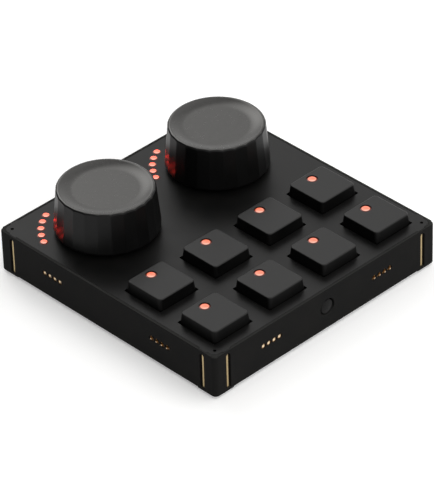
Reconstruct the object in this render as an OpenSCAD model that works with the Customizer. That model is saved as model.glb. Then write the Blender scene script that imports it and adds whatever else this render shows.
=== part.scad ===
// Square desktop control module: two endless jog knobs with arcs of lights, eight lit keys,
// and magnets and spring contacts on every side for docking to a neighbour.
// Millimetres, +Z up. The origin is on the desk under the middle of the case, and -Y is the
// side that faces the user.

/* [Case] */
// Width and depth of the case
case_w = 106.6; // [105:0.2:114]
// Height of the side walls
case_h = 16; // [15.7:0.1:20]
// Thickness of the side walls
wall_t = 2.4; // [2.2:0.1:2.8]
// Radius of the vertical corners
corner_r = 1.8; // [1.2:0.1:2.6]
// Rounding along the top edge of the walls
edge_r = 0.6; // [0.3:0.1:0.8]
// Width of the wall's rim that shows round the face plate
rim_w = 0.95; // [0.9:0.05:1.1]
// Length of the thicker wall at each corner
post_w = 8.6; // [8.2:0.1:9]
// Thickness of the wall there, round the magnets
post_t = 3.7; // [3.5:0.1:4]
// Width of the solid core in each corner
core_w = 5; // [4.5:0.1:5.2]
// How far the corners reach below the walls
post_drop = 0.35; // [0.1:0.05:0.8]
// Thickness of the base cover
cover_t = 1.8; // [1.6:0.1:2.2]
// Width of the wall's lower lip round the base cover
cover_lip = 1.2; // [1:0.1:1.5]
// Clearance round the base cover
cover_gap = 0.15; // [0.05:0.05:0.3]

/* [Face plate] */
// Thickness of the face plate
plate_t = 1.2; // [1:0.1:1.6]
// Radius of the face plate's corners
plate_r = 2.4; // [1.8:0.1:4]
// Clearance between the face plate and the rim
plate_gap = 0.12; // [0.05:0.01:0.2]
// Length of the plate's tabs over the magnets
tab_l = 3.4; // [3:0.1:4]
// Wall left outside each tab
tab_skin = 0.4; // [0.3:0.05:0.5]
// Diameter of the pin holes in the plate's corners
pin_hole_d = 1.2; // [1:0.1:1.5]
// Distance of the pin holes from the sides
pin_hole_in = 3.3; // [3:0.1:3.6]
// Depth of the pin holes below the plate
pin_hole_deep = 4; // [2:0.5:6]

/* [Keys] */
// Distance of the outer keys' middles from the sides of the case
key_in = 14.45; // [14.2:0.05:15.5]
// Width of a keycap's top
key_top_w = 16.5; // [16:0.1:16.8]
// Width of a keycap's foot
key_base_w = 17; // [16.8:0.1:17.4]
// Radius of a keycap's corners
key_r = 1.6; // [1:0.1:2.2]
// Radius of the corners inside a keycap
cap_inner_r = 1; // [0.6:0.1:1.4]
// Height of the keycaps above the face plate
key_rise = 4.05; // [3.6:0.05:5]
// Depth of the keycaps' feet below the face plate's top
key_sink = 1; // [0.6:0.1:1.4]
// Travel of a key
key_travel = 3; // [2.4:0.1:3]
// Clearance between a keycap's foot and its opening
key_gap = 0.45; // [0.3:0.05:0.6]
// Radius of the corners of a key's opening
key_open_r = 0.3; // [0.2:0.1:0.5]
// Wall thickness of a keycap
cap_t = 1.1; // [0.9:0.05:1.2]
// Thickness of a keycap's top
cap_top_t = 1.35; // [1.2:0.05:1.5]
// Rounding along the edge of a keycap's top
cap_edge = 0.4; // [0.2:0.1:0.6]
// Diameter of the light window in a keycap
window_d = 3.9; // [3:0.1:4.2]
// Distance of the window from the keycap's middle
window_off = 4.85; // [4.8:0.05:5.2]
// How far the window's rim lies below the keycap's top
window_sink = 0.3; // [0.2:0.05:0.4]
// Height of the window's dome above its rim
window_dome = 0.4; // [0.2:0.05:0.5]
// Clearance of the window in the keycap
window_gap = 0.02; // [0.01:0.01:0.05]

/* [Key switches] */
// Width of a switch housing
switch_w = 13.8; // [13.4:0.1:14]
// Height of a switch's base shell
switch_base_h = 2.4; // [2:0.1:2.8]
// Clearance between the switch cover and the pressed keycap
switch_air = 0.25; // [0.15:0.05:0.4]
// Thickness of a switch cover's top
switch_top_t = 1; // [0.8:0.1:1.2]
// Thickness of a switch's floor
switch_floor_t = 0.8; // [0.6:0.1:1]
// Width of the key stem's neck
stem_w = 11; // [10.6:0.1:11.2]
// Depth of the key stem's neck
stem_d = 4.6; // [4.5:0.05:4.8]
// Lip of the stem's flange that the switch cover holds back
stem_lip = 0.35; // [0.3:0.05:0.45]
// Sliding clearance of the stem
slide_gap = 0.1; // [0.06:0.01:0.14]
// Width of the legs under a keycap
leg_w = 1.2; // [1:0.1:1.4]
// Depth of the legs under a keycap
leg_d = 3; // [2.6:0.1:3.2]
// Length of the legs under a keycap
leg_l = 2.6; // [2:0.1:3]
// Distance of a leg from the keycap's middle
leg_off = 3.6; // [3.4:0.05:4]
// Clearance of the legs in the stem
leg_gap = 0.04; // [0.02:0.01:0.06]
// Outer diameter of a key spring
spring_d = 3.1; // [2.8:0.1:3.2]
// Wire diameter of a key spring
spring_wire = 0.32; // [0.25:0.01:0.36]
// Clearance of a key spring in the stem
spring_gap = 0.15; // [0.1:0.05:0.2]
// Turns of a key spring
spring_turns = 5; // [4:0.5:6]
// Depth of the spring's seat in the stem
spring_seat = 2.4; // [2:0.1:2.6]
// Length of the light well through a switch, along X
well_w = 4; // [3.6:0.1:4.4]
// Depth of the light well, along Y
well_d = 3.2; // [3:0.1:3.3]

/* [Jog knobs] */
// Distance of each knob's axis from the sides of the case
knob_in = 26.65; // [26.5:0.05:28]
// Height of a knob's top above the face plate
knob_rise = 17.4; // [16:0.1:19]
// Height of a knob's foot above the face plate
knob_lift = 1.1; // [0.9:0.1:1.5]
// Radius of a knob at its foot, across the corners of its facets
knob_base_r = 18.9; // [18:0.1:19.4]
// Radius of a knob below its rim, across the corners of its facets
knob_top_r = 17.45; // [16.8:0.05:17.8]
// Number of facets round a knob
knob_facets = 24; // [20:4:28]
// Rounding of a knob's upper rim
knob_rim_r = 1.1; // [0.8:0.1:1.4]
// Rounding of a knob's foot
knob_foot_r = 0.8; // [0.4:0.1:1]
// Radius of the flat disc in a knob's dished top
dish_r = 11.5; // [10:0.1:12.5]
// Depth of the dished top
dish_deep = 1; // [0.6:0.1:1.4]
// Wall thickness of a knob
knob_wall = 2; // [1.6:0.1:2.4]
// Thickness of a knob's top under the dish
knob_top_t = 2; // [1.6:0.1:2.4]
// Radius of a knob's hub
hub_r = 5; // [4.6:0.1:6]
// Round lead-in of the hub's bore, below its flat
hub_lead = 0.5; // [0.3:0.1:1]
// Number of ribs inside a knob
rib_count = 8; // [6:1:10]
// Thickness of a knob's ribs
rib_t = 1.2; // [1:0.1:1.5]
// Height of the ribs' lower edges above the face plate
rib_lift = 6; // [5.5:0.1:7]

/* [Encoders] */
// Width of an encoder's body
enc_w = 12.4; // [11.8:0.1:13]
// Depth of an encoder's body
enc_d = 13; // [12:0.1:13.4]
// Gap between an encoder's body and the face plate
enc_air = 0.8; // [0.5:0.1:1]
// Radius of the encoder's threaded neck
neck_r = 3.5; // [3.45:0.01:3.6]
// Height of the neck above the face plate
neck_rise = 3.6; // [3.2:0.1:3.8]
// Radius of the encoder's shaft
shaft_r = 3; // [2.9:0.05:3.05]
// Running clearance of the shaft in the neck
shaft_gap = 0.05; // [0.03:0.01:0.08]
// Height of the shaft's end above the face plate
shaft_rise = 12.6; // [12:0.1:13]
// Depth of the flat along the shaft
shaft_flat = 1.2; // [0.8:0.1:1.5]
// Radius of the collar that keeps the shaft in
collar_r = 4.1; // [3.8:0.1:4.3]
// Height of that collar
collar_h = 0.8; // [0.6:0.1:1]
// Clearance round the collar
collar_gap = 0.1; // [0.05:0.05:0.2]
// Thickness of the encoder's top over the collar
enc_top_t = 0.8; // [0.6:0.1:0.9]
// Thickness of the push plunger under the shaft
plunger_t = 0.7; // [0.5:0.1:0.8]
// Radius of the nub under the plunger
nub_r = 1.5; // [1:0.1:2]
// Height of the nub under the plunger
nub_h = 0.25; // [0.15:0.05:0.3]
// Travel of the push switch
push_travel = 0.5; // [0.3:0.05:0.5]
// Air left under the pressed plunger
push_air = 0.05; // [0.02:0.01:0.1]
// Air left between the neck and the pressed knob's hub
hub_air = 0.3; // [0.2:0.05:0.5]
// Clearance of the neck in the plate and the washer
neck_gap = 0.1; // [0.05:0.05:0.2]
// Thickness of the neck's washer
washer_t = 0.4; // [0.3:0.1:0.5]
// Radius of the neck's washer
washer_r = 5.8; // [5.4:0.1:6.4]
// Thickness of the neck's nut
nut_t = 2; // [1.8:0.1:2.2]
// Width of the neck's nut across its flats
nut_af = 10; // [9.5:0.1:10.4]

/* [Arc lights] */
// Radius of the arc of lights round a knob
arc_r = 23.1; // [22.6:0.1:23.4]
// Lights in an arc
arc_n = 5; // [3:2:5]
// Angle between two lights
arc_step = 10; // [9.5:0.1:10.5]
// Direction of the arc's middle, from +X
arc_mid = 135; // [130:1:140]
// Diameter of a light guide
guide_d = 3; // [2.6:0.1:3.2]
// Height of a light guide's dome
guide_dome = 0.35; // [0.2:0.05:0.6]
// Air between the light guides and their lamps
guide_air = 0.3; // [0.2:0.1:0.5]
// Clearance of the light guides in the face plate
guide_gap = 0.05; // [0.03:0.01:0.1]
// Width of the strip that joins an arc's light guides
strip_w = 3.8; // [3.4:0.1:4]
// Thickness of that strip
strip_t = 1; // [0.8:0.1:1.2]

/* [Main board] */
// Depth of the main board's upper face below the top of the case
board_drop = 6.6; // [6.4:0.1:7.2]
// Thickness of the main board
board_t = 1.6; // [1.2:0.1:2]
// Clearance round the main board
board_gap = 0.6; // [0.4:0.1:0.8]
// Height of the light-emitting diodes
led_h = 0.9; // [0.6:0.1:1]
// Width of the light-emitting diodes
led_w = 2; // [1.6:0.1:2.2]

// Width and depth of the processor
processor_w = 7; // [5:0.5:9]
// Width of the memory beside it
memory_w = 5; // [4:0.5:6]
// Width of the clock beside it
clock_w = 3; // [2:0.5:4]
// Width of the supply circuit behind it
supply_w = 6; // [4:0.5:6]
// Space between the packages on the board
chip_gap = 4; // [3:0.5:6]
// Height of the packages on the board
chip_h = 0.9; // [0.6:0.1:1.4]

/* [Docking] */
// Distance of a magnet's middle from the corner of the case
magnet_in = 6.3; // [6.1:0.05:6.5]
// Diameter of a magnet
magnet_d = 2.4; // [2.2:0.1:2.5]
// Length of a magnet
magnet_l = 14.2; // [12.5:0.1:14.3]
// Clearance round a magnet
magnet_gap = 0.05; // [0.02:0.01:0.1]
// Wall between the case's face and a magnet's pocket
magnet_skin = 0.4; // [0.3:0.05:0.45]
// Width of the slot that shows a magnet
slot_w = 2; // [1.6:0.1:2.1]
// Wall left between that slot and the plate's tab
slot_web = 0.1; // [0.05:0.05:0.2]
// Distance of the contact groups from the ends of a side
dock_in = 26.65; // [25:0.05:28]
// Distance between contacts
contact_pitch = 2.54; // [2.4:0.01:2.6]
// Contacts in a group
contact_n = 4; // [3:1:4]
// Radius of the contact pads and sleeves
contact_r = 0.95; // [0.85:0.01:1]
// Clearance of the contacts in the wall
contact_gap = 0.1; // [0.05:0.01:0.13]
// How far pads and sleeves lie behind the face
contact_sink = 0.35; // [0.2:0.05:0.6]
// Radius of a spring pin
pin_r = 0.6; // [0.5:0.01:0.65]
// Running clearance of a spring pin in its sleeve
pin_gap = 0.05; // [0.03:0.01:0.08]
// How far a spring pin stands out of the face
pin_out = 0.4; // [0.3:0.05:0.6]
// Travel of a spring pin
pin_travel = 0.6; // [0.4:0.05:0.8]
// Length of a spring pin
pin_l = 4; // [3.4:0.1:4.2]
// Width of a contact block
block_w = 11.4; // [11:0.1:12]
// Depth of a contact block
block_d = 5; // [4.6:0.1:5.4]
// Height of a contact block
block_h = 4.2; // [3.8:0.1:4.4]
// Thickness of a contact block behind the contacts
block_back = 0.5; // [0.4:0.1:0.8]
// Radius of the ball that shapes the cup in a contact pad
cup_r = 0.9; // [0.8:0.05:1]
// Depth of the cup in a contact pad
cup_deep = 0.45; // [0.3:0.05:0.5]
// Air left behind a pressed spring pin
pin_air = 0.3; // [0.2:0.1:0.5]

/* [Side button] */
// Radius of the side button's hole
button_hole_r = 3.3; // [3.1:0.05:3.4]
// Clearance round the side button
button_gap = 0.65; // [0.5:0.05:0.7]
// How far the middle of the side button lies behind the face
button_sink = 0.05; // [0:0.05:0.3]
// Rise of the side button's domed face
button_dome = 0.3; // [0.2:0.05:0.4]
// Radius of the flange that keeps the button in
button_flange_r = 3.9; // [3.8:0.05:4.2]
// Thickness of that flange
button_flange_t = 0.8; // [0.6:0.1:1]
// Radius of the button's stem
button_stem_r = 1.25; // [1:0.05:1.6]
// Length of the button's stem
button_stem_l = 1.4; // [1.2:0.1:2]
// Travel of the button
button_travel = 0.5; // [0.3:0.05:0.5]
// Air left behind the pressed button's plunger
button_air = 0.2; // [0.1:0.05:0.3]
// Width of the button's switch
tact_w = 6.2; // [6:0.1:7]
// Depth of the button's switch
tact_d = 3.2; // [3:0.1:3.6]
// Height of the button's switch
tact_h = 3.6; // [3.4:0.1:4]
// Radius of the switch's plunger
tact_r = 0.9; // [0.8:0.05:1]
// How far the switch's plunger stands out of the switch
tact_out = 0.7; // [0.6:0.05:1]
// Length of the plunger inside the switch
tact_in = 0.7; // [0.5:0.05:1]
// Running clearance of the plunger
tact_gap = 0.05; // [0.03:0.01:0.08]

/* [USB socket] */
// Outer width of the USB-C shell
usb_w = 8.94; // [8.94]
// Outer height of the USB-C shell
usb_h = 3.26; // [3.26]
// Wall thickness of the USB-C shell
usb_wall = 0.3; // [0.25:0.05:0.35]
// Length of the USB-C shell
usb_l = 7.3; // [6.5:0.1:8]
// How far the shell lies behind the face
usb_sink = 0.3; // [0.1:0.1:0.6]
// Clearance of the shell in the wall
usb_gap = 0.3; // [0.2:0.05:0.5]
// Width of a solder ear beside the shell
ear_w = 1.3; // [1:0.1:1.5]
// Length of a solder ear
ear_l = 2.6; // [2:0.1:3]
// Thickness of a solder ear
ear_t = 0.4; // [0.3:0.1:0.5]
// Width of the tongue in the socket
tongue_w = 6.69; // [6.69]
// Thickness of the tongue in the socket
tongue_t = 0.7; // [0.7]
// How far the tongue lies behind the shell's mouth
tongue_in = 0.9; // [0.6:0.1:1.2]

/* [Fasteners and feet] */
// Width of a standoff across its flats
standoff_af = 4.6; // [4.2:0.1:5]
// Distance of the rear standoffs from the rear of the case
standoff_in = 11.8; // [11.6:0.1:12.6]
// Radius of a screw's shank
screw_r = 1.2; // [1.1:0.05:1.25]
// Clearance of a screw in the board and the base cover
screw_gap = 0.2; // [0.1:0.05:0.3]
// Clearance of a screw in its standoff
thread_gap = 0.05; // [0.02:0.01:0.08]
// Clearance of a press fit
press_gap = 0.02; // [0.01:0.01:0.03]
// Width of a screw's hexagon socket across its flats
socket_af = 1.5; // [1.3:0.1:2]
// Depth of that socket
socket_h = 0.9; // [0.6:0.1:1]
// Radius of a screw's head
head_r = 2.2; // [2:0.1:2.4]
// Height of a screw's head
head_h = 1.4; // [1.2:0.1:1.6]
// How far a screw's head lies above the base cover's face
head_sink = 0.3; // [0.2:0.1:0.5]
// How far a screw reaches into its standoff
screw_bite = 4; // [3:0.1:4.6]
// Closed end of a standoff's bore
standoff_end = 0.4; // [0.3:0.1:0.8]
// Wall thickness of the base cover's bosses
boss_t = 1.6; // [1.2:0.1:2]
// Radius of a rubber foot
foot_r = 4; // [3:0.5:5]
// Thickness of a rubber foot
foot_h = 1.5; // [1:0.1:2]
// Chamfer along a rubber foot's lower edge
foot_edge = 0.4; // [0.2:0.1:0.6]
// Distance of the rubber feet from the sides of the case
foot_in = 15.3; // [14:0.1:18]

/* [Hidden] */

// Heights
eps = 0.01;
wall_z = foot_h;
top_z = wall_z + case_h;
plate_z = top_z - plate_t;
cover_top = wall_z + cover_t;
board_z = top_z - board_drop;
edge_z = board_z - board_t / 2;

// Plan sizes
half = case_w / 2;
plate_w = case_w - 2 * rim_w - 2 * plate_gap;
board_half = half - wall_t - board_gap;
key_open_w = key_base_w + 2 * key_gap;
magnet_deep = magnet_skin + magnet_d / 2 + magnet_gap;
magnet_z = plate_z - magnet_gap - magnet_l;
magnet_x = half - magnet_in;
key_out = half - key_in;
key_pitch = 2 * key_out / 3;
knob_off = half - knob_in;
dock_off = half - dock_in;
foot_off = half - foot_in;

// Key switches, up from the board
housing_top = top_z + key_rise - cap_top_t - key_travel - switch_air;
switch_split = board_z + switch_base_h;
stem_stop = housing_top - switch_top_t;
stem_foot = board_z + switch_floor_t + key_travel + slide_gap;
stem_top = top_z + key_rise - cap_top_t;
spring_top = stem_foot + spring_seat;
spring_bottom = board_z + switch_floor_t;
chamber_w = stem_w + 2 * slide_gap + 2 * stem_lip + 2 * slide_gap;
chamber_d = stem_d + 2 * slide_gap + 2 * stem_lip + 2 * slide_gap;

// Encoders, down from the face plate
enc_top = plate_z - enc_air;
collar_top = enc_top - enc_top_t;
shaft_foot = collar_top - shaft_gap - collar_h;
plunger_foot = shaft_foot - plunger_t;
enc_well = plunger_foot - nub_h - push_travel - push_air;
hub_foot = top_z + neck_rise + push_travel + hub_air;
flat_z = hub_foot + hub_lead;
knob_top = top_z + knob_rise;
hub_top = top_z + shaft_rise + collar_gap;
knob_lean = atan2(knob_base_r - knob_top_r, knob_rise - knob_rim_r - knob_lift - knob_foot_r);

// Side parts, inward from the face
block_y = wall_t + block_d;
contact_end = block_y - block_back;
stem_y = wall_t + button_flange_t + button_stem_l;
tact_y = stem_y + tact_out;
ear_root = 0.5;

round_n = 64;
small_n = 24;
black = "#17181a";
graphite = "#2b2c2e";
gold = "#d9b45b";

function key_x(i) = (i % 4 - 1.5) * key_pitch;
function key_y(i) = (i < 4 ? key_pitch : 0) - key_out;
function arc_angle(i) = arc_mid + (i - (arc_n - 1) / 2) * arc_step;
function contact_x(i) = (i - (contact_n - 1) / 2) * contact_pitch;
// A point turned q quarter turns about the origin
function turned(p, q) = q == 0 ? p : turned([-p[1], p[0]], q - 1);
// Outline of a square with a notch of the given width in each corner
function notched(h, n) = [
    for (q = [0:3], p = [[h, h - n], [h - n, h - n], [h - n, h]]) turned(p, q)];
// Outline of a square that steps in round the thicker walls and cores of the corners
function stepped(h) = let(a = h - post_w + wall_t, t = h - post_t + wall_t,
                          c = h - core_w + wall_t) [
    for (q = [0:3], p = [[h, a], [t, a], [t, c], [c, c], [c, t], [a, t], [a, h]])
        turned(p, q)];

// Rounded square, centred
module round_square(w, r) {
    square([w, w - 2 * r], center = true);
    square([w - 2 * r, w], center = true);
    for (sx = [-1, 1], sy = [-1, 1])
        translate([sx * (w / 2 - r), sy * (w / 2 - r)]) circle(r, $fn = round_n);
}

// Copies its children onto the given sides, with the face at y = 0 and the inside at +y
module on_sides(turns = [0:3]) {
    for (a = turns) rotate([0, 0, 90 * a]) translate([0, -half, 0]) children();
}

// Round bar along +y
module rod(r, y0, y1, n = small_n) {
    translate([0, y0, 0]) rotate([-90, 0, 0]) cylinder(r = r, h = y1 - y0, $fn = n);
}

// Cylinder with a domed top
module domed_rod(r, h, rise) {
    ball = (r * r + rise * rise) / (2 * rise);
    intersection() {
        cylinder(r = r, h = h, $fn = 32);
        translate([0, 0, h - ball]) sphere(r = ball, $fn = 64);
    }
}

module at_keys() {
    for (i = [0:7]) translate([key_x(i), key_y(i), 0]) children();
}

module at_knobs() {
    for (s = [-1, 1]) translate([s * knob_off, knob_off, 0]) children();
}

module at_arc() {
    for (i = [0:arc_n - 1]) rotate([0, 0, arc_angle(i)]) translate([arc_r, 0, 0]) children();
}

module at_standoffs() {
    for (s = [-1, 1], y = [key_pitch / 2 - key_out, half - standoff_in])
        translate([s * key_pitch, y, 0]) children();
}

// The four or eight contacts of the groups on one side: s = -1 pads, s = 1 spring pins
module at_contacts(s) {
    for (i = [0:contact_n - 1])
        translate([s * dock_off + contact_x(i), 0, edge_z]) children();
}

// What a fillet takes off a top edge: r runs outward from the corner's centre line
module edge_offcut() {
    arc = [for (a = [90:-15:0])
        [corner_r - edge_r + edge_r * cos(a), top_z - edge_r + edge_r * sin(a)]];
    polygon(concat(arc, [[corner_r + 1, top_z - edge_r], [corner_r + 1, top_z + 1],
                         [corner_r - edge_r, top_z + 1]]));
}

module top_edge_cut() {
    straight = case_w - 2 * corner_r;
    for (a = [0:3]) rotate([0, 0, 90 * a]) {
        translate([-straight / 2, -half + corner_r, 0]) rotate([90, 0, 0]) rotate([0, 90, 0])
            linear_extrude(straight) edge_offcut();
        translate([half - corner_r, half - corner_r, 0])
            rotate_extrude(angle = 90, $fn = round_n) edge_offcut();
    }
}

module case_frame() color(black) difference() {
    union() {
        translate([0, 0, wall_z]) linear_extrude(case_h) round_square(case_w, corner_r);
        translate([0, 0, wall_z - post_drop]) linear_extrude(post_drop + 1) intersection() {
            round_square(case_w, corner_r);
            for (sx = [-1, 1], sy = [-1, 1])
                translate([sx * (half - post_w / 2), sy * (half - post_w / 2)])
                    square(post_w, center = true);
        }
    }
    top_edge_cut();
    translate([0, 0, cover_top - eps]) linear_extrude(case_h)
        polygon(stepped(half - wall_t));
    translate([0, 0, plate_z]) linear_extrude(plate_t + 1)
        round_square(case_w - 2 * rim_w, plate_r);
    translate([0, 0, wall_z - 1]) linear_extrude(cover_t + 1)
        polygon(notched(half - cover_lip, post_w - cover_lip));
    for (sx = [-1, 1], sy = [-1, 1])
        translate([sx * (half - pin_hole_in), sy * (half - pin_hole_in), plate_z - pin_hole_deep])
            cylinder(d = pin_hole_d, h = pin_hole_deep + 1, $fn = small_n);
    on_sides() {
        for (s = [-1, 1]) translate([s * magnet_x, 0, 0]) magnet_pocket();
        for (s = [-1, 1]) at_contacts(s) rod(contact_r + contact_gap, -1, wall_t + 1);
    }
    on_sides([0]) translate([0, 0, edge_z]) rod(button_hole_r, -1, wall_t + 1, round_n);
    on_sides([2]) translate([0, -1, edge_z]) rotate([-90, 0, 0]) linear_extrude(wall_t + 2)
        stadium(usb_w + 2 * usb_gap, usb_h + 2 * usb_gap);
}

// Magnet's pocket, the slot that shows it and the notch for the plate's tab
module magnet_pocket() {
    pocket_r = magnet_d / 2 + magnet_gap;
    slot_top = plate_z - slot_w / 2 - slot_web;
    translate([0, magnet_deep, magnet_z]) cylinder(r = pocket_r, h = case_h, $fn = 32);
    translate([-slot_w / 2, -1, magnet_z]) cube([slot_w, magnet_deep + 1, slot_top - magnet_z]);
    translate([0, 0, slot_top]) rod(slot_w / 2, -1, magnet_deep);
    translate([-tab_l / 2 - plate_gap, tab_skin, plate_z])
        cube([tab_l + 2 * plate_gap, rim_w, plate_t + 1]);
}

module face_plate() color(graphite) difference() {
    translate([0, 0, plate_z]) linear_extrude(plate_t) difference() {
        union() {
            round_square(plate_w, plate_r - plate_gap);
            on_sides() for (s = [-1, 1])
                translate([s * magnet_x - tab_l / 2, tab_skin + plate_gap])
                    square([tab_l, rim_w + 1]);
        }
        at_keys() round_square(key_open_w, key_open_r);
    }
    translate([0, 0, plate_z - 1]) {
        at_knobs() cylinder(r = neck_r + neck_gap, h = plate_t + 2, $fn = round_n);
        at_knobs() at_arc() cylinder(d = guide_d + 2 * guide_gap, h = plate_t + 2, $fn = 32);
        for (sx = [-1, 1], sy = [-1, 1])
            translate([sx * (half - pin_hole_in), sy * (half - pin_hole_in), 0])
                cylinder(d = pin_hole_d, h = plate_t + 2, $fn = small_n);
    }
}

module base_cover() color(black) difference() {
    union() {
        translate([0, 0, wall_z]) linear_extrude(cover_t)
            polygon(notched(half - cover_lip - cover_gap, post_w - cover_lip));
        at_standoffs() translate([0, 0, wall_z])
            cylinder(r = head_r + screw_gap + boss_t, h = board_z - board_t - wall_z,
                     $fn = round_n);
    }
    at_standoffs() {
        translate([0, 0, wall_z - 1])
            cylinder(r = screw_r + screw_gap, h = case_h, $fn = small_n);
        translate([0, 0, wall_z - 1])
            cylinder(r = head_r + screw_gap, h = 1 + head_sink + head_h, $fn = 32);
    }
}

module main_board() color("#123c2a") difference() {
    translate([0, 0, board_z - board_t]) linear_extrude(board_t)
        polygon(stepped(board_half));
    translate([0, 0, board_z - board_t - 1]) {
        on_sides() for (s = [-1, 1]) translate([s * dock_off - block_w / 2, 0, 0])
            cube([block_w, block_y, board_t + 2]);
        on_sides([0]) {
            translate([-button_flange_r - button_air, 0, 0])
                cube([2 * (button_flange_r + button_air), tact_y, board_t + 2]);
            translate([-tact_w / 2, 0, 0]) cube([tact_w, tact_y + tact_d, board_t + 2]);
        }
        on_sides([2]) translate([-usb_w / 2, 0, 0])
            cube([usb_w, usb_sink + usb_l, board_t + 2]);
        at_standoffs() cylinder(r = screw_r + screw_gap, h = board_t + 2, $fn = small_n);
    }
}

// Square packages on the board: the processor between the knobs and the keys, with the memory,
// the clock and the supply circuit round it
module board_chips() color(black) {
    chip(processor_w, 0, 0);
    chip(memory_w, (processor_w + memory_w) / 2 + chip_gap, 0);
    chip(clock_w, -(processor_w + clock_w) / 2 - chip_gap, 0);
    chip(supply_w, 0, (processor_w + supply_w) / 2 + chip_gap);
}

module chip(w, x, y) {
    translate([x - w / 2, y - w / 2, board_z]) cube([w, w, chip_h]);
}

module standoffs() color(gold) at_standoffs() translate([0, 0, board_z]) difference() {
    cylinder(r = standoff_af / 2 / cos(30), h = plate_z - board_z, $fn = 6);
    translate([0, 0, -1])
        cylinder(r = screw_r + thread_gap, h = plate_z - board_z + 1 - standoff_end,
                 $fn = small_n);
}

module base_screws() color("#8a8d90") at_standoffs() translate([0, 0, wall_z + head_sink])
    difference() {
        union() {
            cylinder(r = head_r, h = head_h, $fn = 32);
            cylinder(r = screw_r, h = board_z + screw_bite - wall_z - head_sink,
                     $fn = small_n);
        }
        translate([0, 0, -1]) cylinder(r = socket_af / 2 / cos(30), h = socket_h + 1, $fn = 6);
    }

module rubber_feet() color("#202020") for (sx = [-1, 1], sy = [-1, 1])
    translate([sx * foot_off, sy * foot_off, 0]) {
        translate([0, 0, foot_edge]) cylinder(r = foot_r, h = foot_h - foot_edge, $fn = 48);
        cylinder(r1 = foot_r - foot_edge, r2 = foot_r, h = foot_edge, $fn = 48);
    }

module rod_magnets() color(gold) on_sides() for (s = [-1, 1])
    translate([s * magnet_x, magnet_deep, magnet_z]) cylinder(d = magnet_d, h = magnet_l, $fn = 48);

module dock_blocks() color(black) on_sides() for (s = [-1, 1]) difference() {
    translate([s * dock_off - block_w / 2, wall_t, edge_z - block_h / 2])
        cube([block_w, block_d, block_h]);
    at_contacts(s) rod(contact_r + press_gap, wall_t - 1, contact_end);
}

// Pads with a shallow cup that a neighbour's spring pin centres in
module contact_pads() color(gold) on_sides() at_contacts(-1) difference() {
    rod(contact_r, contact_sink, contact_end);
    translate([0, contact_sink + cup_deep - cup_r, 0]) sphere(r = cup_r, $fn = 32);
}

module pin_sleeves() color(gold) on_sides() at_contacts(1) difference() {
    rod(contact_r, contact_sink, contact_end);
    rod(pin_r + pin_gap, contact_sink - 1, pin_l - pin_out + pin_travel + pin_air);
}

module spring_pins(turn) color(gold) on_sides([turn]) at_contacts(1) union() {
    translate([0, pin_r - pin_out, 0]) sphere(r = pin_r, $fn = 32);
    rod(pin_r, pin_r - pin_out, pin_l - pin_out);
}

module switch_bases() color(black) at_keys() difference() {
    translate([-switch_w / 2, -switch_w / 2, board_z]) cube([switch_w, switch_w, switch_base_h]);
    translate([-chamber_w / 2, -chamber_d / 2, board_z + switch_floor_t])
        cube([chamber_w, chamber_d, switch_base_h]);
    light_well();
}

module switch_covers() color("#3a3b3d") at_keys() difference() {
    translate([-switch_w / 2, -switch_w / 2, switch_split])
        cube([switch_w, switch_w, housing_top - switch_split]);
    translate([-chamber_w / 2, -chamber_d / 2, switch_split - 1])
        cube([chamber_w, chamber_d, stem_stop - switch_split + 1]);
    translate([-stem_w / 2 - slide_gap, -stem_d / 2 - slide_gap, stem_stop - 1])
        cube([stem_w + 2 * slide_gap, stem_d + 2 * slide_gap, switch_top_t + 2]);
    light_well();
}

module light_well() {
    translate([-well_w / 2, window_off - well_d / 2, board_z - 1])
        cube([well_w, well_d, housing_top - board_z + 2]);
}

// Compression spring: a round wire swept along a helix, with flat ground ends
module key_spring() {
    r = spring_d / 2 - spring_wire / 2;
    h = spring_top - spring_bottom;
    per_turn = 10;
    sides = 4;
    rings = round(spring_turns * per_turn);
    function ring(k) = let(a = 360 * k / per_turn,
                           z = spring_wire / 2 + (h - spring_wire) * k / rings)
        [for (j = [0:sides - 1]) let(b = 360 * (j + 0.5) / sides,
                                     c = spring_wire / 2 / cos(180 / sides))
            [(r + c * cos(b)) * cos(a), (r + c * cos(b)) * sin(a), z + c * sin(b)]];
    points = [for (k = [0:rings]) each ring(k)];
    walls = [for (k = [0:rings - 1], j = [0:sides - 1])
        let(n = (j + 1) % sides, p = k * sides, q = (k + 1) * sides)
        each [[p + j, q + j, q + n], [p + j, q + n, p + n]]];
    ends = concat([[for (j = [0:sides - 1]) j]],
                  [[for (j = [sides - 1:-1:0]) rings * sides + j]]);
    translate([0, 0, spring_bottom]) polyhedron(points, concat(walls, ends), convexity = 6);
}

module switch_springs() color("silver") at_keys() key_spring();

module key_leds() color("#e8e4d8") at_keys()
    translate([-led_w / 2, window_off - led_w / 2, board_z]) cube([led_w, led_w, led_h]);

module arc_leds() color("#e8e4d8") at_knobs() at_arc()
    translate([-led_w / 2, -led_w / 2, board_z]) cube([led_w, led_w, led_h]);

// Five domed guides on one curved strip under the plate
module light_guides() color("#e0503a") at_knobs() {
    span = (arc_n - 1) * arc_step + 8;
    translate([0, 0, plate_z - strip_t]) rotate([0, 0, arc_mid - span / 2])
        rotate_extrude(angle = span, $fn = 96)
            translate([arc_r - strip_w / 2, 0]) square([strip_w, strip_t]);
    guide_foot = board_z + led_h + guide_air;
    at_arc() translate([0, 0, guide_foot])
        domed_rod(guide_d / 2, top_z + guide_dome - guide_foot, guide_dome);
}

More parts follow.
